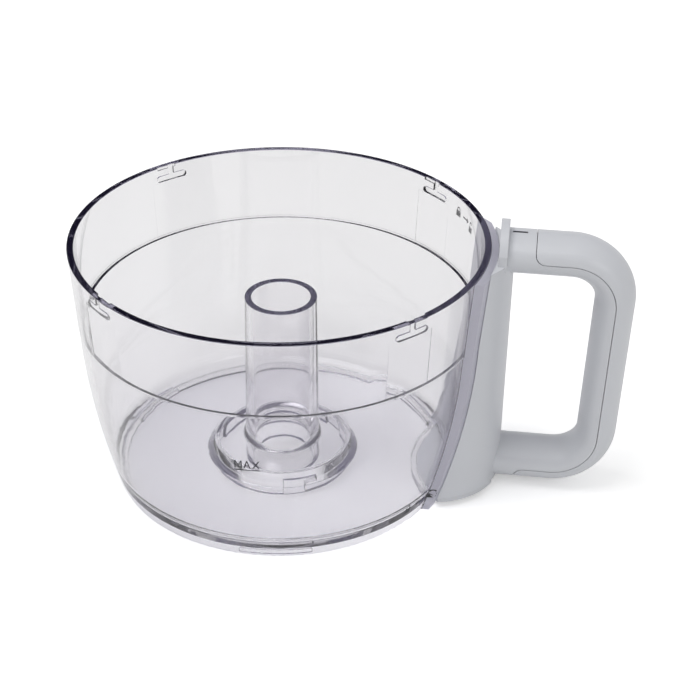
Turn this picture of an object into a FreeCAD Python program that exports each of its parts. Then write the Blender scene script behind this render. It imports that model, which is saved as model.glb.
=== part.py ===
import FreeCAD, Part
import Sketcher
import math
import os

# Clear food processor bowl with a hollow grey handle.
# The bowl's axis is Z, its foot stands on z = 0, and the handle points along +X.

SIZES = {
    # Clear bowl
    "bowl_height": 122.9,
    "rim_radius": 97.0,
    "rim_wall": 3.0,
    "waist_inset": 2.35,
    "waist_height": 85.5,
    "waist_step": 0.3,
    "ledge_width": 1.4,
    "foot_inset": 15.4,
    "foot_edge": 1.2,
    "body_wall": 3.0,
    "body_bulge_radius": 330.0,
    "skirt_height": 4.75,
    "skirt_wall": 2.6,
    "floor_wall": 3.0,
    "floor_corner": 8.0,
    # Hub, drive socket and column in the middle of the bowl
    "socket_radius": 31.0,
    "socket_depth": 12.0,
    "hub_foot_radius": 37.0,
    "hub_shoulder_radius": 33.6,
    "hub_wall": 2.6,
    "hub_rise": 1.6,
    "socket_wall": 2.8,
    "column_height": 90.5,
    "column_radius": 17.05,
    "column_draft": 0.9,
    "column_bore": 14.05,
    "column_flare": 2.5,
    "column_foot_height": 3.0,
    "entry_half_angle": 9.2,
    "catch_angle": 10.0,
    "catch_depth": 1.6,
    "catch_height": 3.2,
    "catch_top": 9.0,
    "catch_turn": -71.0,
    # Bayonet slots for the lid under the rim
    "lid_slot_turn": 45.0,
    "lid_slot_width": 17.0,
    "lid_slot_height": 3.2,
    "lid_slot_drop": 6.4,
    "lid_slot_depth": 1.3,
    "lid_stem_width": 2.8,
    "lid_relief_start": 2.5,
    "lid_relief_end": 8.0,
    "lid_relief_drop": 1.4,
    "lid_relief_depth": 0.6,
    "lid_panel_half_angle": 7.0,
    "lid_panel_depth": 0.2,
    # Land, rails and foot pocket where the handle fixes to the bowl
    "land_thickness": 3.4,
    "land_border": 3.6,
    "land_top_drop": 1.6,
    "rail_turn": 9.0,
    "rail_half_angle": 0.75,
    "rail_depth": 3.2,
    "rail_foot_height": 9.0,
    "rail_top_height": 78.0,
    "pocket_offset": 33.3,
    "pocket_radius": 48.2,
    "pocket_wall": 2.6,
    "lug_turn": -83.0,
    "lug_half_angle": 12.0,
    "lug_reach": 1.8,
    "lug_height": 2.4,
    # Grey pod that hugs the bowl
    "pod_back_reach": 4.0,
    "pod_radius": 33.7,
    "pod_wall": 2.5,
    "pod_bottom": 4.4,
    "pod_roof": 3.0,
    "guide_half_width": 7.0,
    "guide_thickness": 2.0,
    "guide_top_height": 38.0,
    "guide_low_height": 12.0,
    "boss_turn": 41.9,
    "boss_wall_gap": 4.95,
    "boss_radius": 3.6,
    "boss_height": 22.0,
    # Tab at the root of the arm, with the lid finger's slot in it
    "tab_thickness": 3.0,
    "tab_half_width": 15.6,
    "tab_hook": 4.7,
    "tab_crown_rise": 9.7,
    "slot_half_width": 4.4,
    # Grip: a closed loop of oval section, split along its middle
    "grip_top_rise": 0.9,
    "grip_bottom": 11.7,
    "grip_length": 50.9,
    "grip_lean": 1.4,
    "grip_corner": 21.0,
    "grip_half_width": 13.4,
    "grip_half_height": 9.3,
    "grip_end_radius": 7.0,
    "grip_wall": 2.4,
    "arm_root": 0.9,
    "arm_solid_length": 4.8,
    "seam_top_offset": 13.3,
    "seam_bottom_offset": 11.3,
    "seam_corner": 4.5,
    "seam_gap": 0.25,
    # Foot cover under the pod
    "cover_thickness": 1.6,
    "cover_lip_height": 3.0,
    "cover_lip_wall": 1.6,
    "fit_gap": 0.3,
    # Interlock rod, its spring and the two screws
    "rod_offset": 1.4,
    "rod_radius": 1.3,
    "rod_foot_height": 6.0,
    "rod_travel": 4.8,
    "head_height": 4.0,
    "head_half_width": 4.0,
    "head_flat": 1.2,
    "head_step": 1.6,
    "collar_radius": 2.4,
    "collar_thickness": 1.5,
    "spring_radius": 2.3,
    "spring_wire": 0.6,
    "spring_turns": 7.0,
    "screw_radius": 1.4,
    "screw_length": 14.0,
    "screw_head_radius": 3.0,
    "screw_head_height": 1.5,
    "pilot_gap": 0.1,
    "pilot_spare": 0.5,
}


class Size:
    """A length or an angle: its value, and the sheet expression that drives it."""

    def __init__(self, value, text):
        self.value = value
        self.text = text

    def __add__(self, other):
        other = as_size(other)
        return Size(self.value + other.value, f"({self.text} + {other.text})")

    def __sub__(self, other):
        other = as_size(other)
        return Size(self.value - other.value, f"({self.text} - {other.text})")

    def __mul__(self, other):
        other = as_size(other)
        return Size(self.value * other.value, f"({self.text} * {other.text})")

    def __truediv__(self, other):
        other = as_size(other)
        return Size(self.value / other.value, f"({self.text} / {other.text})")

    def __radd__(self, other):
        return as_size(other) + self

    def __rsub__(self, other):
        return as_size(other) - self

    def __rmul__(self, other):
        return as_size(other) * self

    def __neg__(self):
        return Size(-self.value, f"(0 - {self.text})")


def as_size(number):
    return number if isinstance(number, Size) else Size(float(number), str(number))


def root(square):
    return Size(math.sqrt(square.value), f"sqrt({square.text})")


def cosine(angle):
    return Size(math.cos(math.radians(angle.value)), f"cos({angle.text})")


def sine(angle):
    return Size(math.sin(math.radians(angle.value)), f"sin({angle.text})")


document = FreeCAD.newDocument("FoodProcessorBowl")
sheet = document.addObject("Spreadsheet::Sheet", "Sizes")
size = {}
for row, (alias, value) in enumerate(SIZES.items(), start=1):
    sheet.set(f"A{row}", alias)
    sheet.set(f"B{row}", str(value))
    sheet.setAlias(f"B{row}", alias)
    size[alias] = Size(value, f"Sizes.{alias}")
document.recompute()

# PAST is how far a cutting outline runs beyond the face it cuts
ZERO = as_size(0)
ONE = as_size(1)
PAST = as_size(1)
LEAST_CUT = 0.5


def new_body(label):
    """One sub-part: a body whose label is the name of its file."""
    body = document.addObject("PartDesign::Body", label)
    body.Label = label
    return body


def plane_of(body, role):
    return next(item for item in body.Origin.OriginFeatures if item.Role == role)


def new_sketch(body, name, role, lift=ZERO, turn=ZERO):
    """A sketch on an origin plane, lifted along its normal and turned about the bowl's axis."""
    sketch = body.newObject("Sketcher::SketchObject", name)
    sketch.AttachmentSupport = [(plane_of(body, role), "")]
    sketch.MapMode = "FlatFace"
    if turn is ZERO:
        sketch.setExpression(".AttachmentOffset.Base.z", lift.text)
        return sketch
    spin = FreeCAD.Rotation(FreeCAD.Vector(0, 1, 0), turn.value)
    sketch.AttachmentOffset = FreeCAD.Placement(FreeCAD.Vector(), spin)
    sketch.setExpression(".AttachmentOffset.Base.x", (lift * sine(turn)).text)
    sketch.setExpression(".AttachmentOffset.Base.z", (lift * cosine(turn)).text)
    sketch.setExpression(".AttachmentOffset.Rotation.Angle", turn.text)
    return sketch


def pin_point(sketch, geometry, end, place):
    """Hold one point of the sketch at a place given by sizes."""
    for kind, coordinate in zip(("DistanceX", "DistanceY"), place):
        limit = Sketcher.Constraint(kind, -1, 1, geometry, end, coordinate.value)
        index = sketch.addConstraint(limit)
        sketch.setExpression(f"Constraints[{index}]", coordinate.text)


def add_outline(sketch, corners, closed=True):
    """Draw an outline through corners given as (x, y) or (x, y, radius).

    A radius bends the edge that leaves its corner: positive turns left, negative turns right.
    """
    edges = len(corners) if closed else len(corners) - 1
    ends = []
    for number in range(edges):
        corner = corners[number]
        goal = corners[(number + 1) % len(corners)]
        first = FreeCAD.Vector(corner[0].value, corner[1].value, 0)
        last = FreeCAD.Vector(goal[0].value, goal[1].value, 0)
        if len(corner) == 2:
            index = sketch.addGeometry(Part.LineSegment(first, last), False)
            ends.append((index, 1, 2))
            continue
        radius = corner[2]
        chord = last - first
        left = FreeCAD.Vector(-chord.y, chord.x, 0).normalize()
        rise = math.sqrt(max(radius.value ** 2 - chord.Length ** 2 / 4, 0.0))
        side = 1 if radius.value > 0 else -1
        centre = (first + last) / 2 + left * rise * side
        start = math.atan2(first.y - centre.y, first.x - centre.x)
        stop = math.atan2(last.y - centre.y, last.x - centre.x)
        circle = Part.Circle(centre, FreeCAD.Vector(0, 0, 1), abs(radius.value))
        if side > 0:
            index = sketch.addGeometry(Part.ArcOfCircle(circle, start, stop), False)
            ends.append((index, 1, 2))
        else:
            index = sketch.addGeometry(Part.ArcOfCircle(circle, stop, start), False)
            ends.append((index, 2, 1))
        limit = sketch.addConstraint(Sketcher.Constraint("Radius", index, abs(radius.value)))
        sketch.setExpression(f"Constraints[{limit}]", (radius if side > 0 else -radius).text)
    for number, (index, start, stop) in enumerate(ends):
        pin_point(sketch, index, start, corners[number][:2])
        following = ends[(number + 1) % edges]
        if closed or number + 1 < edges:
            sketch.addConstraint(
                Sketcher.Constraint("Coincident", index, stop, following[0], following[1])
            )
        else:
            pin_point(sketch, index, stop, corners[-1][:2])


def add_circle(sketch, place, radius):
    centre = FreeCAD.Vector(place[0].value, place[1].value, 0)
    circle = Part.Circle(centre, FreeCAD.Vector(0, 0, 1), radius.value)
    index = sketch.addGeometry(circle, False)
    limit = sketch.addConstraint(Sketcher.Constraint("Radius", index, radius.value))
    sketch.setExpression(f"Constraints[{limit}]", radius.text)
    pin_point(sketch, index, 3, place)


def swept_volume(body):
    document.recompute()
    return body.Shape.Volume


def check_cut(body, name, before):
    """A cut that points away from the solid removes nothing, so its volume is compared."""
    if before - swept_volume(body) < LEAST_CUT:
        raise RuntimeError(f"{name} removes nothing from {body.Label}")


def pad(body, sketch, name, length, reversed_way=False, midplane=False):
    feature = body.newObject("PartDesign::Pad", name)
    feature.Profile = sketch
    feature.Midplane = midplane
    feature.Reversed = reversed_way
    feature.setExpression("Length", length.text)
    document.recompute()
    return feature


def pocket(body, sketch, name, length, reversed_way=True, midplane=False):
    before = body.Shape.Volume
    feature = body.newObject("PartDesign::Pocket", name)
    feature.Profile = sketch
    feature.Midplane = midplane
    feature.Reversed = reversed_way
    feature.setExpression("Length", length.text)
    check_cut(body, name, before)
    return feature


def revolve(body, sketch, name, half_angle=None):
    feature = body.newObject("PartDesign::Revolution", name)
    feature.Profile = sketch
    feature.ReferenceAxis = (sketch, ["V_Axis"])
    feature.Midplane = half_angle is not None
    feature.Angle = 360
    if half_angle is not None:
        feature.setExpression("Angle", (2 * half_angle).text)
    document.recompute()
    return feature


def groove(body, sketch, name, half_angle=None):
    before = body.Shape.Volume
    feature = body.newObject("PartDesign::Groove", name)
    feature.Profile = sketch
    feature.ReferenceAxis = (sketch, ["V_Axis"])
    feature.Midplane = half_angle is not None
    feature.Angle = 360
    if half_angle is not None:
        feature.setExpression("Angle", (2 * half_angle).text)
    check_cut(body, name, before)
    return feature


def repeat_around(body, features, name, count):
    """Repeat features evenly about the bowl's axis."""
    pattern = body.newObject("PartDesign::PolarPattern", name)
    pattern.Originals = features
    pattern.Axis = (plane_of(body, "Z_Axis"), [""])
    pattern.Angle = 360
    pattern.Occurrences = count
    body.Tip = pattern
    document.recompute()
    return pattern


# Outer wall of the bowl: a bulging lower body and a nearly upright upper band
rim_radius = size["rim_radius"]
height = size["bowl_height"]
waist_radius = rim_radius - size["waist_inset"]
waist_height = size["waist_height"]
foot_radius = rim_radius - size["foot_inset"]
skirt_height = size["skirt_height"]
bulge = size["body_bulge_radius"]
upper_foot_radius = waist_radius + size["waist_step"]
upper_slope = (rim_radius - upper_foot_radius) / (height - waist_height)
floor_top = skirt_height + size["floor_wall"]
inner_waist_radius = waist_radius - size["body_wall"] - size["ledge_width"] / 2
inner_upper_radius = inner_waist_radius + size["ledge_width"]
corner_top = floor_top + size["floor_corner"]
lower_slope = (waist_radius - foot_radius) / waist_height
fit_gap = size["fit_gap"]
pocket_centre = foot_radius + size["pocket_offset"]
tab_front = rim_radius + size["land_thickness"] + fit_gap
tab_back = tab_front + size["tab_thickness"]
pod_radius = size["pod_radius"]
pod_centre = tab_back + size["pod_back_reach"] - pod_radius
boss_ring = pod_radius - size["boss_wall_gap"]
boss_x = pod_centre + boss_ring * cosine(size["boss_turn"])
boss_y = boss_ring * sine(size["boss_turn"])
arm_start = tab_back + size["arm_root"]
rod_x = tab_front + size["rod_offset"]
slot_floor = height + fit_gap
slot_height = size["head_height"] + size["rod_travel"] + 2 * fit_gap
tab_height = slot_floor + slot_height + size["tab_hook"]


def wall_radius(level):
    """Radius of the bulging lower wall at a height."""
    swell = level * (waist_height - level) / (2 * bulge)
    return foot_radius + lower_slope * level + swell


inner_corner_radius = wall_radius(corner_top) - size["body_wall"]
floor_edge_radius = inner_corner_radius - size["floor_corner"]


def build_bowl():
    """Clear moulding: wall, floor, skirt, hub with its socket, and the hollow column."""
    body = new_body("bowl")
    add_land(body)
    profile = new_sketch(body, "BowlProfile", "XZ_Plane")
    socket_radius = size["socket_radius"]
    hub_top = size["socket_depth"] + size["hub_wall"]
    column_radius = size["column_radius"]
    column_foot = column_radius + size["column_draft"]
    flare = size["column_flare"]
    saddle = hub_top + size["hub_rise"]
    edge = size["foot_edge"]
    add_outline(profile, [
        (foot_radius - size["skirt_wall"], ZERO),
        (foot_radius - edge, ZERO, edge),
        (foot_radius, edge, bulge),
        (waist_radius, waist_height),
        (upper_foot_radius, waist_height),
        (rim_radius, height),
        (rim_radius - size["rim_wall"], height),
        (inner_upper_radius, waist_height),
        (inner_waist_radius, waist_height, -bulge),
        (inner_corner_radius, corner_top, -size["floor_corner"]),
        (floor_edge_radius, floor_top),
        (size["hub_foot_radius"], floor_top),
        (size["hub_shoulder_radius"], hub_top),
        (column_foot + flare, saddle, -flare),
        (column_foot, saddle + flare),
        (column_radius, size["column_height"]),
        (size["column_bore"], size["column_height"]),
        (size["column_bore"], size["column_foot_height"]),
        (column_radius, size["column_foot_height"]),
        (column_radius, size["socket_depth"]),
        (socket_radius, size["socket_depth"]),
        (socket_radius, ZERO),
        (socket_radius + size["socket_wall"], ZERO),
        (socket_radius + size["socket_wall"], skirt_height),
        (foot_radius - size["skirt_wall"], skirt_height),
    ])
    revolve(body, profile, "BowlMoulding")
    add_rails(body)
    add_foot_pocket(body)
    cut_lid_slots(body)
    cut_socket_catches(body)
    add_skirt_lugs(body)
    return body


def add_land(body):
    """Thick land on the outside of the wall, with a border round the pod that stands on it."""
    inset = size["body_wall"] / 2
    reach = size["land_thickness"]
    edge = size["foot_edge"]
    land_radius = pod_radius + size["land_border"]
    plan = new_sketch(body, "LandPlan", "XY_Plane", lift=edge)
    add_circle(plan, (pod_centre, ZERO), land_radius)
    pad(body, plan, "HandleLand", height - edge)
    near = pod_centre - land_radius - PAST
    inside = new_sketch(body, "LandInside", "XZ_Plane")
    add_outline(inside, [
        (near, edge - PAST),
        (foot_radius - inset, edge - PAST),
        (foot_radius - inset, edge, bulge),
        (waist_radius - inset, waist_height),
        (rim_radius - inset, height),
        (rim_radius - inset, height + PAST),
        (near, height + PAST),
    ])
    groove(body, inside, "LandInsideCut")
    far = pod_centre + land_radius + PAST
    outside = new_sketch(body, "LandOutside", "XZ_Plane")
    add_outline(outside, [
        (far, height + PAST),
        (rim_radius - inset, height + PAST),
        (rim_radius - inset, height),
        (rim_radius + reach, height - size["land_top_drop"]),
        (waist_radius + reach, waist_height, -bulge),
        (foot_radius + reach, edge),
        (foot_radius + reach, edge - PAST),
        (far, edge - PAST),
    ])
    groove(body, outside, "LandOutsideCut")


def add_rails(body):
    """Two rails on the land, inside the pod, that the pod slides down over."""
    inset = size["body_wall"] / 2
    tip = inset + size["land_thickness"] + size["rail_depth"]
    low = size["rail_foot_height"]
    high = size["rail_top_height"]
    low_radius = wall_radius(low) - inset
    high_radius = wall_radius(high) - inset
    for name, turn in (("NearRail", -size["rail_turn"]), ("FarRail", size["rail_turn"])):
        rail = new_sketch(body, name + "Profile", "XZ_Plane", turn=turn)
        add_outline(rail, [
            (low_radius, low),
            (low_radius + tip, low, bulge),
            (high_radius + tip, high),
            (high_radius, high),
        ])
        revolve(body, rail, name, size["rail_half_angle"])


def add_foot_pocket(body):
    """Arc wall under the floor, and the opening in the skirt that the handle's foot reaches through."""
    outer = size["pocket_radius"] + size["pocket_wall"]
    ring = foot_radius - size["skirt_wall"] / 2
    cross_x = (ring * ring + pocket_centre * pocket_centre - outer * outer) / (2 * pocket_centre)
    cross_y = root(ring * ring - cross_x * cross_x)
    wall = new_sketch(body, "PocketWallPlan", "XY_Plane", lift=size["foot_edge"])
    add_outline(wall, [
        (cross_x, cross_y, outer),
        (cross_x, -cross_y, ring),
    ])
    pad(body, wall, "PocketWall", skirt_height - size["foot_edge"] + size["floor_wall"] / 2)
    opening = new_sketch(body, "PocketPlan", "XY_Plane", lift=-PAST)
    add_circle(opening, (pocket_centre, ZERO), size["pocket_radius"])
    pocket(body, opening, "FootPocket", skirt_height + PAST)


def cut_lid_slots(body):
    """Four T slots with round ends, each beside a relief at the rim and over a shallow panel."""
    turn = size["lid_slot_turn"]
    bore = rim_radius - size["rim_wall"] - upper_slope * size["lid_slot_drop"]
    lift = bore / 2
    middle = height - size["lid_slot_drop"]
    half = size["lid_slot_width"] / 2
    round_end = size["lid_slot_height"] / 2
    stem = size["lid_stem_width"] / 2
    slot = new_sketch(body, "LidSlotPlan", "YZ_Plane", lift=lift, turn=turn)
    add_outline(slot, [
        (-half + round_end, middle - round_end),
        (half - round_end, middle - round_end, round_end),
        (half, middle, round_end),
        (half - round_end, middle + round_end),
        (stem, middle + round_end),
        (stem, height + PAST),
        (-stem, height + PAST),
        (-stem, middle + round_end),
        (-half + round_end, middle + round_end, round_end),
        (-half, middle, round_end),
    ])
    slot_cut = pocket(body, slot, "LidSlot", bore - lift + size["lid_slot_depth"])
    relief = new_sketch(body, "LidReliefPlan", "YZ_Plane", lift=lift, turn=turn)
    left = -size["lid_relief_start"]
    right = size["lid_relief_end"]
    low = height - size["lid_relief_drop"]
    over = height + PAST
    add_outline(relief, [(left, low), (right, low), (right, over), (left, over)])
    relief_reach = rim_radius - size["rim_wall"] - lift + size["lid_relief_depth"]
    relief_cut = pocket(body, relief, "LidRelief", relief_reach)
    panel = new_sketch(body, "LidPanelProfile", "XZ_Plane", turn=turn)
    top = middle - round_end
    top_radius = rim_radius - size["rim_wall"] - upper_slope * (height - top)
    depth = size["lid_panel_depth"]
    add_outline(panel, [
        (inner_upper_radius - PAST, waist_height + depth),
        (inner_upper_radius + depth, waist_height + depth),
        (top_radius + depth, top),
        (top_radius - PAST, top),
    ])
    panel_cut = groove(body, panel, "LidPanel", size["lid_panel_half_angle"])
    repeat_around(body, [slot_cut, relief_cut, panel_cut], "LidSlots", 4)


def cut_socket_catches(body):
    """Three bayonet entries and catches in the wall of the drive socket."""
    inner = size["socket_radius"] - PAST
    outer = size["socket_radius"] + size["catch_depth"]
    high = size["catch_top"]
    entry = new_sketch(body, "EntryProfile", "XZ_Plane", turn=size["catch_turn"])
    add_outline(entry, [(inner, -PAST), (outer, -PAST), (outer, high), (inner, high)])
    entry_cut = groove(body, entry, "CatchEntry", size["entry_half_angle"])
    run_half_angle = (size["entry_half_angle"] + size["catch_angle"]) / 2
    run = new_sketch(body, "CatchProfile", "XZ_Plane", turn=size["catch_turn"] + run_half_angle)
    low = high - size["catch_height"]
    add_outline(run, [(inner, low), (outer, low), (outer, high), (inner, high)])
    run_cut = groove(body, run, "CatchRun", run_half_angle)
    repeat_around(body, [entry_cut, run_cut], "SocketCatches", 3)


def add_skirt_lugs(body):
    """Three low ledges inside the skirt."""
    wall = foot_radius - size["skirt_wall"]
    lug = new_sketch(body, "SkirtLugProfile", "XZ_Plane", turn=size["lug_turn"])
    low = size["foot_edge"]
    add_outline(lug, [
        (wall - size["lug_reach"], low),
        (wall + PAST, low),
        (wall + PAST, low + size["lug_height"]),
        (wall - size["lug_reach"], low + size["lug_height"]),
    ])
    feature = revolve(body, lug, "SkirtLug", size["lug_half_angle"])
    repeat_around(body, [feature], "SkirtLugs", 3)


# Loop of the grip, in the upright plane through the bowl's axis
grip_top = height + size["grip_top_rise"]
grip_bottom = size["grip_bottom"]
reach = tab_back + size["grip_length"]
bend = size["grip_corner"]
lean = size["grip_lean"]
upper_centre_x = reach - bend
upper_centre_z = grip_top - bend
lower_centre_z = grip_bottom + bend
lower_centre_x = upper_centre_x - (upper_centre_z - lower_centre_z) * sine(lean) / cosine(lean)


def loop_corners(start_top, start_bottom, offset=ZERO):
    """The grip's middle line from the top arm round to the bottom arm, moved out by an offset."""
    radius = bend + offset
    return [
        (start_top, grip_top + offset),
        (upper_centre_x, grip_top + offset, -radius),
        (upper_centre_x + radius * cosine(lean), upper_centre_z - radius * sine(lean)),
        (lower_centre_x + radius * cosine(lean), lower_centre_z - radius * sine(lean), -radius),
        (lower_centre_x, grip_bottom - offset),
        (start_bottom, grip_bottom - offset),
    ]


def oval_section(body, name, start, shrink):
    """Oval of four tangent arcs about the middle of the top arm."""
    half_width = size["grip_half_width"] - shrink
    half_height = size["grip_half_height"] - shrink
    small = size["grip_end_radius"] - shrink
    span = half_width - small
    large = (half_height * half_height + span * span - small * small) / (2 * (half_height - small))
    drop = large - half_height
    touch_y = large * span / (large - small)
    touch_z = drop * small / (large - small)
    section = new_sketch(body, name, "YZ_Plane", lift=start)
    add_outline(section, [
        (touch_y, grip_top - touch_z, small),
        (touch_y, grip_top + touch_z, large),
        (-touch_y, grip_top + touch_z, small),
        (-touch_y, grip_top - touch_z, large),
    ])
    return section


def grip_loop(body, start, shrink, additive):
    """Sweep the oval round the loop, as material or as the hollow inside it."""
    kind = "Grip" if additive else "GripHollow"
    section = oval_section(body, kind + "Section", start, shrink)
    path = new_sketch(body, kind + "Path", "XZ_Plane")
    add_outline(path, loop_corners(start, start), closed=False)
    document.recompute()
    feature = "PartDesign::AdditivePipe" if additive else "PartDesign::SubtractivePipe"
    sweep = body.newObject(feature, kind)
    sweep.Profile = section
    sweep.Spine = (path, [])
    document.recompute()
    return sweep


def build_handle_body():
    """Grey moulding: pod, tab, both arms and the inner half of the grip."""
    body = new_body("handle_body")
    bottom = size["pod_bottom"]
    plan = new_sketch(body, "PodPlan", "XY_Plane", lift=bottom)
    half_disc(plan, pod_radius)
    pad(body, plan, "Pod", height - bottom)
    tab = new_sketch(body, "TabOutline", "YZ_Plane", lift=tab_front)
    half = size["tab_half_width"]
    rise = size["tab_crown_rise"]
    shoulder = tab_height - rise
    crown_radius = (half * half + rise * rise) / (2 * rise)
    add_outline(tab, [
        (-half, height - size["pod_roof"]),
        (half, height - size["pod_roof"]),
        (half, shoulder, crown_radius),
        (-half, shoulder),
    ])
    pad(body, tab, "Tab", arm_start - tab_front)
    grip_loop(body, arm_start, ZERO, True)
    cavity = new_sketch(body, "PodCavityPlan", "XY_Plane", lift=bottom - PAST)
    half_disc(cavity, pod_radius - size["pod_wall"])
    pocket(body, cavity, "PodCavity", height - size["pod_roof"] - bottom + PAST)
    grip_loop(body, tab_back + size["arm_solid_length"], size["grip_wall"], False)
    add_guides(body)
    add_bosses(body)
    fit_to_bowl(body)
    cut_rod_way(body)
    split = new_sketch(body, "OuterHalf", "XZ_Plane")
    add_outline(split, seam_corners(ZERO))
    pocket(body, split, "GripSplit", 4 * size["grip_half_width"], midplane=True)
    return body


def half_disc(sketch, radius):
    add_outline(sketch, [
        (pod_centre, -radius, radius),
        (pod_centre + radius, ZERO, radius),
        (pod_centre, radius),
    ])


def seam_corners(gap):
    """Outline of the grip's outer half: along the middle line inside, well clear outside."""
    top_start = tab_back + size["seam_top_offset"] + gap
    bottom_start = tab_back + size["seam_bottom_offset"] + gap
    inner = loop_corners(top_start, bottom_start, gap)
    clear = 2 * size["grip_half_height"]
    corner = size["seam_corner"]
    left = inner[0][0]
    foot_left = inner[-1][0]
    return [
        (left, grip_top + clear),
        (left, inner[0][1] + corner, corner),
        (left + corner, inner[0][1]),
        inner[1],
        inner[2],
        inner[3],
        inner[4],
        (foot_left + corner, inner[5][1], corner),
        (foot_left, inner[5][1] - corner),
        (foot_left, grip_bottom - clear),
        (reach + clear, grip_bottom - clear),
        (reach + clear, grip_top + clear),
    ]


def add_guides(body):
    """Two shelves across the pod that guide the rod and hold its spring."""
    half = size["guide_half_width"]
    far = pod_centre + pod_radius - size["pod_wall"] / 2
    for name, level in (("LowGuide", "guide_low_height"), ("TopGuide", "guide_top_height")):
        shelf = new_sketch(body, name + "Plan", "XY_Plane", lift=size[level])
        near = foot_radius
        add_outline(shelf, [(near, -half), (far, -half), (far, half), (near, half)])
        pad(body, shelf, name, size["guide_thickness"])


def add_bosses(body):
    """Two screw bosses on the pod's wall, with blind pilot holes."""
    bottom = size["pod_bottom"]
    for name, side in (("NearBoss", -ONE), ("FarBoss", ONE)):
        place = (boss_x, boss_y * side)
        boss = new_sketch(body, name + "Plan", "XY_Plane", lift=bottom)
        add_circle(boss, place, size["boss_radius"])
        pad(body, boss, name, size["boss_height"])
        pilot = new_sketch(body, name + "PilotPlan", "XY_Plane", lift=bottom - PAST)
        add_circle(pilot, place, size["screw_radius"] + size["pilot_gap"])
        pocket(body, pilot, name + "Pilot", size["screw_length"] + PAST)


def fit_to_bowl(body):
    """Cut the pod back to the bowl's land, with a fit gap."""
    near = foot_radius / 2
    reach_out = size["land_thickness"] + fit_gap
    land = new_sketch(body, "LandClearance", "XZ_Plane")
    add_outline(land, [
        (near, ZERO),
        (foot_radius + reach_out, ZERO),
        (foot_radius + reach_out, size["foot_edge"], bulge),
        (waist_radius + reach_out, waist_height),
        (rim_radius + reach_out, height),
        (rim_radius + reach_out, height + PAST),
        (near, height + PAST),
    ])
    groove(body, land, "LandFit")


def cut_rod_way(body):
    """Slot in the tab for the lid's finger, and the way down for the rod."""
    front = tab_front - PAST
    slot = new_sketch(body, "FingerSlotPlan", "XY_Plane", lift=slot_floor)
    half = size["slot_half_width"]
    back = rod_x + size["rod_radius"] + 2 * fit_gap
    side = size["tab_half_width"] + PAST
    add_outline(slot, [(front, -half), (back, -half), (back, side), (front, side)])
    pocket(body, slot, "FingerSlot", slot_height)
    way = new_sketch(body, "RodWayPlan", "XY_Plane", lift=size["guide_low_height"] - PAST)
    add_circle(way, (rod_x, ZERO), size["rod_radius"] + fit_gap)
    pocket(body, way, "RodWay", slot_floor - size["guide_low_height"] + 2 * PAST)


def build_grip_cover():
    """Grey outer half of the grip: a channel that closes the loop."""
    body = new_body("grip_cover")
    grip_loop(body, arm_start, ZERO, True)
    grip_loop(body, arm_start - PAST, size["grip_wall"], False)
    inside = new_sketch(body, "InnerHalf", "XZ_Plane")
    seam = seam_corners(size["seam_gap"])[:10]
    far = arm_start - 2 * PAST
    clear = 2 * size["grip_half_height"]
    add_outline(inside, seam + [(far, grip_bottom - clear), (far, grip_top + clear)])
    pocket(body, inside, "GripSplit", 4 * size["grip_half_width"], midplane=True)
    return body


def build_handle_foot():
    """Grey cover under the pod, with a round tongue that reaches under the bowl's floor."""
    body = new_body("handle_foot")
    tongue = size["pocket_radius"] - fit_gap
    centre = pocket_centre
    cross_x = (pod_radius * pod_radius - tongue * tongue + centre * centre - pod_centre * pod_centre) / (
        2 * (centre - pod_centre))
    offset = cross_x - pod_centre
    cross_y = root(pod_radius * pod_radius - offset * offset)
    top = size["pod_bottom"]
    plate = new_sketch(body, "CoverPlan", "XY_Plane", lift=top - size["cover_thickness"])
    add_outline(plate, [
        (cross_x, -cross_y, pod_radius),
        (pod_centre + pod_radius, ZERO, pod_radius),
        (cross_x, cross_y, tongue),
        (centre - tongue, ZERO, tongue),
    ])
    pad(body, plate, "Cover", size["cover_thickness"])
    lip_outer = pod_radius - size["pod_wall"] - fit_gap
    lip_inner = lip_outer - size["cover_lip_wall"]
    start_x = boss_x + size["boss_radius"] + PAST
    lip = new_sketch(body, "CoverLipPlan", "XY_Plane", lift=top)
    lip_x = start_x - pod_centre
    outer_y = root(lip_outer * lip_outer - lip_x * lip_x)
    inner_y = root(lip_inner * lip_inner - lip_x * lip_x)
    add_outline(lip, [
        (start_x, -outer_y, lip_outer),
        (start_x, outer_y),
        (start_x, inner_y, -lip_inner),
        (start_x, -inner_y),
    ])
    pad(body, lip, "CoverLip", size["cover_lip_height"])
    below = top - size["cover_thickness"] - PAST
    holes = new_sketch(body, "CoverHoles", "XY_Plane", lift=below)
    for side in (-ONE, ONE):
        add_circle(holes, (boss_x, boss_y * side), size["screw_radius"] + fit_gap)
    add_circle(holes, (rod_x, ZERO), size["rod_radius"] + fit_gap)
    pocket(body, holes, "CoverHoleCuts", size["cover_thickness"] + size["cover_lip_height"] + 2 * PAST)
    notch = new_sketch(body, "ArmNotchPlan", "XY_Plane", lift=below)
    near = arm_start - fit_gap
    wide = size["grip_half_width"]
    far = pod_centre + pod_radius + PAST
    add_outline(notch, [(near, -wide), (far, -wide), (far, wide), (near, wide)])
    pocket(body, notch, "ArmNotch", size["cover_thickness"] + PAST)
    return body


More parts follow.
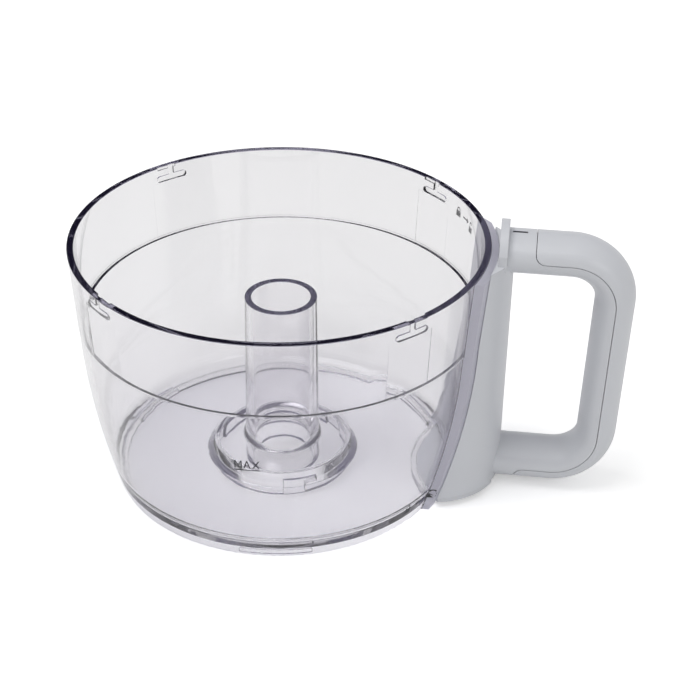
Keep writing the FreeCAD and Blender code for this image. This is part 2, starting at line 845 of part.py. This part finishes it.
def build_interlock_rod():
    """Grey rod that the closed lid pushes down: wedge head, shaft and spring collar."""
    body = new_body("interlock_rod")
    head_top = slot_floor + slot_height - fit_gap
    head_bottom = head_top - size["head_height"]
    place = (rod_x, ZERO)
    shaft = new_sketch(body, "ShaftPlan", "XY_Plane", lift=size["rod_foot_height"])
    add_circle(shaft, place, size["rod_radius"])
    pad(body, shaft, "Shaft", head_bottom - size["rod_foot_height"] + PAST)
    head_front = tab_front + fit_gap
    head = new_sketch(body, "HeadOutline", "YZ_Plane", lift=head_front)
    half = size["head_half_width"]
    add_outline(head, [
        (-half, head_bottom),
        (half, head_bottom),
        (half, head_bottom + size["head_step"]),
        (size["head_flat"], head_top),
        (-half, head_top),
    ])
    pad(body, head, "Head", rod_x + size["rod_radius"] - head_front)
    collar_top = size["guide_top_height"] - fit_gap
    collar = new_sketch(body, "CollarPlan", "XY_Plane", lift=collar_top - size["collar_thickness"])
    add_circle(collar, place, size["collar_radius"])
    pad(body, collar, "Collar", size["collar_thickness"])
    return body


def build_rod_spring():
    """Steel coil between the low guide and the rod's collar, its wire drawn with six sides."""
    wire = size["spring_wire"].value / 2
    low = size["guide_low_height"].value + size["guide_thickness"].value + wire
    collar_bottom = size["guide_top_height"] - fit_gap - size["collar_thickness"]
    high = collar_bottom.value - wire
    pitch = (high - low) / size["spring_turns"].value
    radius = size["spring_radius"].value
    helix = Part.makeHelix(pitch, high - low, radius)
    corners = []
    for side in range(7):
        angle = math.radians(60 * side + 30)
        corners.append(FreeCAD.Vector(radius + wire * math.cos(angle), 0, wire * math.sin(angle)))
    section = Part.makePolygon(corners)
    coil = Part.Wire(helix).makePipeShell([section], True, True)
    spring = document.addObject("Part::Feature", "rod_spring")
    spring.Label = "rod_spring"
    spring.Shape = coil
    spring.Placement = FreeCAD.Placement(
        FreeCAD.Vector(rod_x.value, 0, low), FreeCAD.Rotation())
    return spring


def build_foot_screws():
    """Two steel screws that hold the foot cover to the pod's bosses."""
    bottom = size["pod_bottom"] - size["cover_thickness"]
    screws = []
    for name, side in (("NearScrew", -ONE), ("FarScrew", ONE)):
        place_y = boss_y * side
        shank = document.addObject("Part::Cylinder", name + "Shank")
        shank.setExpression("Radius", size["screw_radius"].text)
        shank_length = size["screw_length"] - size["pilot_spare"] + size["cover_thickness"]
        shank.setExpression("Height", shank_length.text)
        shank.setExpression("Placement.Base.x", boss_x.text)
        shank.setExpression("Placement.Base.y", place_y.text)
        shank.setExpression("Placement.Base.z", bottom.text)
        head = document.addObject("Part::Cylinder", name + "Head")
        head.setExpression("Radius", size["screw_head_radius"].text)
        head.setExpression("Height", size["screw_head_height"].text)
        head.setExpression("Placement.Base.x", boss_x.text)
        head.setExpression("Placement.Base.y", place_y.text)
        head.setExpression("Placement.Base.z", (bottom - size["screw_head_height"]).text)
        screw = document.addObject("Part::Fuse", name)
        screw.Base = shank
        screw.Tool = head
        screws.append(screw)
    group = document.addObject("Part::Compound", "foot_screws")
    group.Label = "foot_screws"
    group.Links = screws
    return group


parts = [
    build_bowl(),
    build_handle_body(),
    build_grip_cover(),
    build_handle_foot(),
    build_interlock_rod(),
    build_rod_spring(),
    build_foot_screws(),
]
document.recompute()

for item in document.Objects:
    if "Invalid" in item.State or "Error" in item.State:
        raise RuntimeError(f"{item.Name} failed: {item.State}")
for part in parts:
    if part.Shape.isNull() or not part.Shape.isValid():
        raise RuntimeError(f"{part.Label} has no valid shape")

os.makedirs("parts", exist_ok=True)
for part in parts:
    part.Shape.exportStep(f"parts/{part.Label}.step")
    box = part.Shape.BoundBox
    print(part.Label, len(part.Shape.Solids), "solids", round(part.Shape.Volume, 1), "mm3",
          [round(v, 2) for v in (box.XMin, box.YMin, box.ZMin, box.XMax, box.YMax, box.ZMax)])
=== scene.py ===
import bpy
import bmesh
import math
from mathutils import Matrix, Vector


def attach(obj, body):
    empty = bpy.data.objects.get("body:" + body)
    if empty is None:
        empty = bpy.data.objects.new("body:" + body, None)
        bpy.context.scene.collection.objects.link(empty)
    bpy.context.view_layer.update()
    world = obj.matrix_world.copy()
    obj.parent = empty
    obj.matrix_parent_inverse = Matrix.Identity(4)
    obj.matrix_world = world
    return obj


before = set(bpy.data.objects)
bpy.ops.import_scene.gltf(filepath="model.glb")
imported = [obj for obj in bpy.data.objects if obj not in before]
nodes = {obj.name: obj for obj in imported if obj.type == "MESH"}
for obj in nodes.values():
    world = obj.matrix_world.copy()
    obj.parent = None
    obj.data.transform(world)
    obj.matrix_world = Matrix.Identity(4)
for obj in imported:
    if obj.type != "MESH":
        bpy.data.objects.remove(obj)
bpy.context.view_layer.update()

scene = bpy.context.scene
MM = 0.001


# The bowl: one clear injection moulding of a tough copolyester, 3 mm thick, with the drive hub,
# the hollow column, four lid slots and the land for the handle all moulded in. Its violet toner
# shows most where light runs along the wall, as at the rim and the column's end, whose cut ends
# also carry painted shade.
class Link:
    """An output of a material node. Sums and products of links add Math nodes."""

    def __init__(self, tree, socket=None):
        self.tree = tree
        self.socket = socket

    def node(self, kind, settings=None, inputs=None, output=0):
        """Add a node, set it, wire or fill its inputs, and give one of its outputs."""
        made = self.tree.nodes.new(kind)
        for name, value in (settings or {}).items():
            setattr(made, name, value)
        for name, value in (inputs or {}).items():
            if isinstance(value, Link):
                self.tree.links.new(value.socket, made.inputs[name])
            else:
                made.inputs[name].default_value = value
        return Link(self.tree, made.outputs[output] if made.outputs else None)

    def sum(self, operation, first, second=0.0):
        """Add a Math node."""
        return self.node("ShaderNodeMath", {"operation": operation}, {0: first, 1: second})

    def __add__(self, other):
        return self.sum("ADD", self, other)

    def __radd__(self, other):
        return self.sum("ADD", other, self)

    def __sub__(self, other):
        return self.sum("SUBTRACT", self, other)

    def __rsub__(self, other):
        return self.sum("SUBTRACT", other, self)

    def __mul__(self, other):
        return self.sum("MULTIPLY", self, other)

    def __rmul__(self, other):
        return self.sum("MULTIPLY", other, self)


def new_finish(name):
    """An empty node material, and the link that its nodes are added from."""
    finish = bpy.data.materials.new(name)
    finish.use_nodes = True
    finish.node_tree.nodes.clear()
    return finish, Link(finish.node_tree)


def dress(node, finish):
    """Give a CAD piece its finish."""
    nodes[node].data.materials.clear()
    nodes[node].data.materials.append(finish)


RIM_HEIGHT = 122.9 * MM
COLUMN_HEIGHT = 90.5 * MM
COLUMN_RADIUS = 18.0 * MM
END_DEPTH = 0.3 * MM
FOOT_RADIUS = 81.6 * MM
WAIST_RADIUS = 94.65 * MM
WAIST_HEIGHT = 85.5 * MM
WAIST_LEDGE = 0.3 * MM
BULGE_RADIUS = 330.0 * MM
UPPER_SLOPE = 0.0548
POD_CENTRE_X = 74.0 * MM
LAND_RADIUS = 37.6 * MM
LAND_STEP = 0.2 * MM
EDGE_ROUNDING = 0.5 * MM
CLEAR_TINT = (0.98, 0.975, 0.985, 1.0)
# The colour of the painted shade on the cut ends of the wall and the column
END_SHADE_COLOUR = (0.2, 0.19, 0.27, 1.0)
TONER_TINT = (0.41, 0.4, 0.43, 1.0)
TONER_DENSITY = 16.0

clear_finish, clear = new_finish("clear copolyester")
place = clear.node("ShaderNodeTexCoord", output="Object")
axes = clear.tree.nodes.new("ShaderNodeSeparateXYZ")
clear.tree.links.new(place.socket, axes.inputs[0])
x, y, z = (Link(clear.tree, axes.outputs[name]) for name in "XYZ")
radius = clear.sum("SQRT", x * x + y * y)

# Painted shade: the cut ends of the wall and the column are coloured dark, standing in for the
# dark look they have because light reaches them along the wall
rim_end = clear.sum("GREATER_THAN", z, RIM_HEIGHT - END_DEPTH)
column_end = (clear.sum("GREATER_THAN", z, COLUMN_HEIGHT - END_DEPTH)
              * clear.sum("LESS_THAN", radius, COLUMN_RADIUS))
painted_end_shade = clear.sum("MAXIMUM", rim_end, column_end)
clear_tint_and_end_shade = clear.node("ShaderNodeMix", {"data_type": "RGBA"}, {
    "Factor": painted_end_shade, 6: CLEAR_TINT, 7: END_SHADE_COLOUR}, output=2)

# The land that the handle sits on has a spark-eroded face, which is matt
lower_wall = (FOOT_RADIUS + (WAIST_RADIUS - FOOT_RADIUS) / WAIST_HEIGHT * z
              + (0.5 / BULGE_RADIUS) * z * (WAIST_HEIGHT - z))
upper_wall = WAIST_RADIUS + WAIST_LEDGE + UPPER_SLOPE * (z - WAIST_HEIGHT)
is_upper = clear.sum("GREATER_THAN", z, WAIST_HEIGHT)
wall_radius = lower_wall + is_upper * (upper_wall - lower_wall)
raised = clear.sum("GREATER_THAN", radius, wall_radius + LAND_STEP)
beside = x - POD_CENTRE_X
near_pod = clear.sum("LESS_THAN", clear.sum("SQRT", beside * beside + y * y), LAND_RADIUS)
land = raised * near_pod

flow = clear.node("ShaderNodeTexNoise", None, {"Vector": place, "Scale": 18.0, "Detail": 2.0})
rounded = clear.node("ShaderNodeBevel", {"samples": 4}, {"Radius": EDGE_ROUNDING})
waver = clear.node("ShaderNodeBump", None, {
    "Height": flow, "Strength": 0.06, "Distance": 1.0 * MM, "Normal": rounded})
polish = clear.node("ShaderNodeTexNoise", None, {"Vector": place, "Scale": 60.0, "Detail": 3.0})
gloss = clear.node("ShaderNodeBsdfPrincipled", None, {
    "Base Color": clear_tint_and_end_shade,
    "Transmission Weight": 1.0,
    "IOR": 1.5,
    "Roughness": 0.01 + 0.03 * polish,
    "Normal": waver,
})
frosted = clear.node("ShaderNodeBsdfPrincipled", None, {
    "Base Color": (0.66, 0.65, 0.74, 1.0),
    "Transmission Weight": 0.4,
    "IOR": 1.5,
    "Roughness": 0.35 + 0.1 * polish,
})
wall = clear.node("ShaderNodeMixShader", None, {0: land, 1: gloss, 2: frosted})
lamp_pass = clear.node("ShaderNodeBsdfTransparent", None, {"Color": (0.97, 0.97, 0.98, 1.0)})
shadow_ray = clear.node("ShaderNodeLightPath", output="Is Shadow Ray")
surface = clear.node("ShaderNodeMixShader", None, {0: shadow_ray, 1: wall, 2: lamp_pass})
toner = clear.node("ShaderNodeVolumeAbsorption", None, {
    "Color": TONER_TINT, "Density": TONER_DENSITY})
clear.node("ShaderNodeOutputMaterial", None, {"Surface": surface, "Volume": toner})
dress("bowl", clear_finish)


# The marks on the bowl: dark grey ink, pad printed on the outside of the wall. A fill line with
# its word stands at the front, and a closed lock, an arrow and an open lock stand twice: at the
# rim, where the lid turns, and at the foot, where the bowl turns on its drive.
ink_finish, ink = new_finish("dark printing ink")
place = ink.node("ShaderNodeTexCoord", output="Object")
fleck = ink.node("ShaderNodeTexNoise", None, {"Vector": place, "Scale": 1500.0, "Detail": 2.0})
film = ink.node("ShaderNodeBsdfPrincipled", None, {
    "Base Color": (0.028, 0.028, 0.034, 1.0),
    "Roughness": 0.4 + 0.2 * fleck,
})
ink.node("ShaderNodeOutputMaterial", None, {"Surface": film})

INK_LIFT = 0.05 * MM
OUTSIDE = 200.0 * MM
LONG_EDGE = 0.3


def on_wall(turn, level):
    """Point just off the bowl's outer wall, at an angle about the axis and a height."""
    outward = Vector((math.cos(turn), math.sin(turn), 0.0))
    start = outward * OUTSIDE + Vector((0.0, 0.0, level))
    _, point, _, _ = nodes["bowl"].ray_cast(start, -outward)
    return point + outward * INK_LIFT


def print_mark(name, outlines, turn, level, width, height):
    """Wrap flat shapes, drawn in a unit square, on the wall round an angle and a height."""
    mesh = bmesh.new()
    radius = on_wall(turn, level).xy.length
    for outline in outlines:
        mesh.faces.new([mesh.verts.new((x, y, 0.0)) for x, y in outline])
    bmesh.ops.triangulate(mesh, faces=mesh.faces[:])
    long_edges = [edge for edge in mesh.edges if edge.calc_length() > LONG_EDGE]
    bmesh.ops.subdivide_edges(mesh, edges=long_edges, cuts=3)
    for vertex in mesh.verts:
        angle = turn + (vertex.co.x - 0.5) * width / radius
        vertex.co = on_wall(angle, level + vertex.co.y * height)
    data = bpy.data.meshes.new(name)
    mesh.to_mesh(data)
    mesh.free()
    mark = bpy.data.objects.new(name, data)
    scene.collection.objects.link(mark)
    data.materials.append(ink_finish)
    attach(mark, "bowl_assembly")


def bar(x, y, wide, high):
    """One upright oblong of a mark."""
    return [(x, y), (x + wide, y), (x + wide, y + high), (x, y + high)]


def shackle(base):
    """Short quads along the bow of a lock, which stands on a height."""
    middle = 0.5
    outer = 0.32
    inner = 0.16
    flatness = 0.8
    steps = 6
    angles = [math.pi * step / steps for step in range(steps + 1)]
    quads = []
    for first, last in zip(angles, angles[1:]):
        corners = [(outer, first), (outer, last), (inner, last), (inner, first)]
        quads.append([
            (middle + reach * math.cos(angle), base + flatness * reach * math.sin(angle))
            for reach, angle in corners
        ])
    return quads


closed_lock = [bar(0.05, 0.0, 0.9, 0.56)]
closed_lock += [bar(0.18, 0.56, 0.16, 0.14), bar(0.66, 0.56, 0.16, 0.14)]
closed_lock += shackle(0.7)
open_lock = [bar(0.05, 0.0, 0.9, 0.5), bar(0.66, 0.5, 0.16, 0.22)]
open_lock += shackle(0.72)
arrow = [bar(0.25, 0.38, 0.75, 0.24), [(0.0, 0.5), (0.34, 0.06), (0.34, 0.94)]]

# The fill line's word, drawn as straight strokes
letter_m = [
    bar(0.0, 0.0, 0.05, 1.0),
    [(0.05, 1.0), (0.05, 0.8), (0.15, 0.1), (0.15, 0.36)],
    [(0.15, 0.36), (0.15, 0.1), (0.25, 0.8), (0.25, 1.0)],
    bar(0.25, 0.0, 0.05, 1.0),
]
letter_a = [
    [(0.36, 0.0), (0.41, 0.0), (0.525, 1.0), (0.475, 1.0)],
    [(0.59, 0.0), (0.64, 0.0), (0.525, 1.0), (0.475, 1.0)],
    bar(0.43, 0.28, 0.14, 0.13),
]
letter_x = [
    [(0.7, 0.0), (0.76, 0.0), (1.0, 1.0), (0.94, 1.0)],
    [(0.94, 0.0), (1.0, 0.0), (0.76, 1.0), (0.7, 1.0)],
]
fill_line = [bar(0.1 * step, 0.0, 0.1, 1.0) for step in range(10)]
marks = [
    ("fill_word", letter_m + letter_a + letter_x, -89.8, 57.8, 11.0, 4.2),
    ("fill_line", fill_line, -89.8, 56.5, 11.6, 0.5),
    ("rim_closed_lock", closed_lock, 33.5, 112.3, 4.6, 5.2),
    ("rim_arrow", arrow, 28.6, 112.4, 6.4, 3.6),
    ("rim_open_lock", open_lock, 25.0, 110.0, 4.2, 5.8),
    ("foot_closed_lock", closed_lock, -36.8, 7.8, 4.2, 5.6),
    ("foot_arrow", arrow, -31.2, 8.9, 6.6, 3.4),
    ("foot_open_lock", open_lock, -25.4, 8.4, 4.0, 4.8),
]
for name, outlines, turn, level, width, height in marks:
    print_mark(name, outlines, math.radians(turn), level * MM, width * MM, height * MM)


# The handle body: one pale grey ABS moulding with a fine satin texture. Its pod hooks over the
# bowl's land and rails, its tab carries the slot for the lid's finger, and a short black line on
# the arm shows where the lid's own line comes when it is locked.
grey_finish, grey = new_finish("grey satin plastic")
place = grey.node("ShaderNodeTexCoord", output="Object")
grain = grey.node("ShaderNodeTexNoise", None, {"Vector": place, "Scale": 2500.0, "Detail": 2.0})
cloud = grey.node("ShaderNodeTexNoise", None, {"Vector": place, "Scale": 25.0, "Detail": 3.0})
edge = grey.node("ShaderNodeBevel", {"samples": 6}, {"Radius": EDGE_ROUNDING})
skin = grey.node("ShaderNodeBump", None, {
    "Height": grain, "Strength": 0.06, "Distance": 0.2 * MM, "Normal": edge})
shell = grey.node("ShaderNodeBsdfPrincipled", None, {
    "Base Color": (0.61, 0.622, 0.652, 1.0),
    "Roughness": 0.3 + 0.08 * cloud,
    "Normal": skin,
})
grey.node("ShaderNodeOutputMaterial", None, {"Surface": shell})
dress("handle_body", grey_finish)

LINE_START = 106.1 * MM
LINE_LENGTH = 6.7 * MM
LINE_WIDTH = 1.3 * MM
LINE_STEPS = 8
line_mesh = bmesh.new()
rows = []
for step in range(LINE_STEPS + 1):
    along = LINE_START + LINE_LENGTH * step / LINE_STEPS
    row = []
    for across in (-LINE_WIDTH / 2, LINE_WIDTH / 2):
        above = Vector((along, across, OUTSIDE))
        _, point, _, _ = nodes["handle_body"].ray_cast(above, Vector((0, 0, -1)))
        row.append(line_mesh.verts.new(point + Vector((0, 0, INK_LIFT))))
    rows.append(row)
for first, last in zip(rows, rows[1:]):
    line_mesh.faces.new((first[0], last[0], last[1], first[1]))
line_data = bpy.data.meshes.new("lock_line")
line_mesh.to_mesh(line_data)
line_mesh.free()
line_data.materials.append(ink_finish)
lock_line = bpy.data.objects.new("lock_line", line_data)
scene.collection.objects.link(lock_line)
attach(lock_line, "bowl_assembly")


# The grip cover: the outer half of the closed grip, moulded in the same grey ABS and snapped on
# along the seam.
dress("grip_cover", grey_finish)


# The handle foot: a grey cover under the pod, held by two screws, whose round tongue reaches
# through the skirt under the bowl's floor.
dress("handle_foot", grey_finish)


# The interlock rod: a darker acetal moulding that slides in the pod's guides.
rod_finish, acetal = new_finish("grey acetal")
place = acetal.node("ShaderNodeTexCoord", output="Object")
streak = acetal.node("ShaderNodeTexNoise", None, {"Vector": place, "Scale": 300.0, "Detail": 2.0})
rod_skin = acetal.node("ShaderNodeBsdfPrincipled", None, {
    "Base Color": (0.42, 0.43, 0.46, 1.0),
    "Roughness": 0.34 + 0.1 * streak,
})
acetal.node("ShaderNodeOutputMaterial", None, {"Surface": rod_skin})
dress("interlock_rod", rod_finish)


# The rod's spring: drawn stainless wire, coiled between the low guide and the rod's collar.
wire_finish, wire = new_finish("drawn spring wire")
place = wire.node("ShaderNodeTexCoord", output="Object")
draw = wire.node("ShaderNodeTexNoise", None, {"Vector": place, "Scale": 900.0, "Detail": 2.0})
wire_skin = wire.node("ShaderNodeBsdfPrincipled", None, {
    "Base Color": (0.56, 0.56, 0.58, 1.0),
    "Metallic": 1.0,
    "Roughness": 0.24 + 0.14 * draw,
})
wire.node("ShaderNodeOutputMaterial", None, {"Surface": wire_skin})
dress("rod_spring", wire_finish)


# The two foot screws: zinc-plated steel, driven up through the foot into the pod's bosses.
zinc_finish, zinc = new_finish("zinc plated steel")
place = zinc.node("ShaderNodeTexCoord", output="Object")
spangle = zinc.node("ShaderNodeTexNoise", None, {"Vector": place, "Scale": 700.0, "Detail": 3.0})
zinc_skin = zinc.node("ShaderNodeBsdfPrincipled", None, {
    "Base Color": (0.6, 0.61, 0.62, 1.0),
    "Metallic": 1.0,
    "Roughness": 0.3 + 0.18 * spangle,
})
zinc.node("ShaderNodeOutputMaterial", None, {"Surface": zinc_skin})
dress("foot_screws", zinc_finish)


# Studio: white table and surround, two soft lights from above, and the camera at the place that
# the photograph was taken from. High up the surround is dark to reflections and refractions, as
# in a tent with an open top, which draws the dark lines of clear edges.
table = bpy.data.meshes.new("table")
outline = bmesh.new()
bmesh.ops.create_circle(outline, cap_ends=True, segments=96, radius=4.0)
outline.to_mesh(table)
outline.free()
table_top = bpy.data.objects.new("table", table)
scene.collection.objects.link(table_top)
table_top.location.z = -0.0002
SEEN_LIFT = 0.34
BENT_LIFT = 0.02
white_finish, white = new_finish("white table")
matt = white.node("ShaderNodeBsdfDiffuse", None, {"Color": (0.92, 0.92, 0.92, 1.0)})
paths = white.tree.nodes.new("ShaderNodeLightPath")
seen = Link(white.tree, paths.outputs["Is Camera Ray"])
mirrored = Link(white.tree, paths.outputs["Is Glossy Ray"])
passed = Link(white.tree, paths.outputs["Is Transmission Ray"])
lift = white.node("ShaderNodeEmission", None, {
    "Color": (1.0, 1.0, 1.0, 1.0),
    "Strength": SEEN_LIFT * seen + BENT_LIFT * mirrored + BENT_LIFT * passed,
})
paper = white.node("ShaderNodeAddShader", None, {0: matt, 1: lift})
white.node("ShaderNodeOutputMaterial", None, {"Surface": paper})
table.materials.append(white_finish)

world = bpy.data.worlds.new("studio")
scene.world = world
world.use_nodes = True
world.node_tree.nodes.clear()
sky = Link(world.node_tree)
paths = world.node_tree.nodes.new("ShaderNodeLightPath")
seen = Link(world.node_tree, paths.outputs["Is Camera Ray"])
mirrored = Link(world.node_tree, paths.outputs["Is Glossy Ray"])
passed = Link(world.node_tree, paths.outputs["Is Transmission Ray"])
direction = sky.node("ShaderNodeTexCoord", output="Generated")
height = sky.node("ShaderNodeSeparateXYZ", None, {0: direction}, output="Z")
rise = sky.node("ShaderNodeMapRange", None, {"Value": height, "From Min": 0.1, "From Max": 0.35})
bent = sky.sum("MAXIMUM", mirrored, passed)
shade = sky.node("ShaderNodeMix", {"data_type": "RGBA"}, {
    "Factor": rise * bent, 6: (1.0, 1.0, 1.0, 1.0), 7: (0.09, 0.075, 0.19, 1.0)}, output=2)
LIT_STRENGTH = 0.54
BENT_STRENGTH = 0.78
strength = (LIT_STRENGTH + (BENT_STRENGTH - LIT_STRENGTH) * bent
            + (1.0 - LIT_STRENGTH) * seen)
glow = sky.node("ShaderNodeBackground", None, {"Color": shade, "Strength": strength})
sky.node("ShaderNodeOutputWorld", None, {"Surface": glow})


def soft_box(name, place, aim, width, power):
    """A round lamp that faces a point."""
    lamp = bpy.data.lights.new(name, "AREA")
    lamp.shape = "DISK"
    lamp.size = width
    lamp.energy = power
    holder = bpy.data.objects.new(name, lamp)
    scene.collection.objects.link(holder)
    holder.location = place
    holder.rotation_euler = (Vector(aim) - Vector(place)).to_track_quat("-Z", "Y").to_euler()


soft_box("top_box", (-0.5, -0.2, 1.6), (0.0, 0.0, 0.05), 1.2, 12.0)
soft_box("side_box", (1.3, -1.0, 1.1), (0.05, 0.0, 0.05), 0.8, 4.0)

camera = bpy.data.objects.new("camera", bpy.data.cameras.new("camera"))
scene.collection.objects.link(camera)
scene.camera = camera
camera.data.sensor_width = 36.0
camera.data.lens = 79.02
camera.data.clip_start = 0.05
camera.data.clip_end = 50.0
heading, dip, roll = math.radians(96.83), math.radians(31.93), math.radians(0.85)
forward = Vector((
    math.cos(heading) * math.cos(dip), math.sin(heading) * math.cos(dip), -math.sin(dip)))
sideways = forward.cross(Vector((0, 0, 1))).normalized()
upward = sideways.cross(forward)
right = math.cos(roll) * sideways + math.sin(roll) * upward
top = -math.sin(roll) * sideways + math.cos(roll) * upward
aim = Matrix((right, top, -forward)).transposed().to_4x4()
camera.matrix_world = Matrix.Translation((0.1072, -0.6184, 0.4518)) @ aim

scene.view_settings.view_transform = "Standard"
scene.cycles.max_bounces = 64
scene.cycles.transmission_bounces = 64
scene.cycles.glossy_bounces = 16
scene.cycles.transparent_max_bounces = 48
scene.cycles.caustics_reflective = False
scene.cycles.caustics_refractive = True
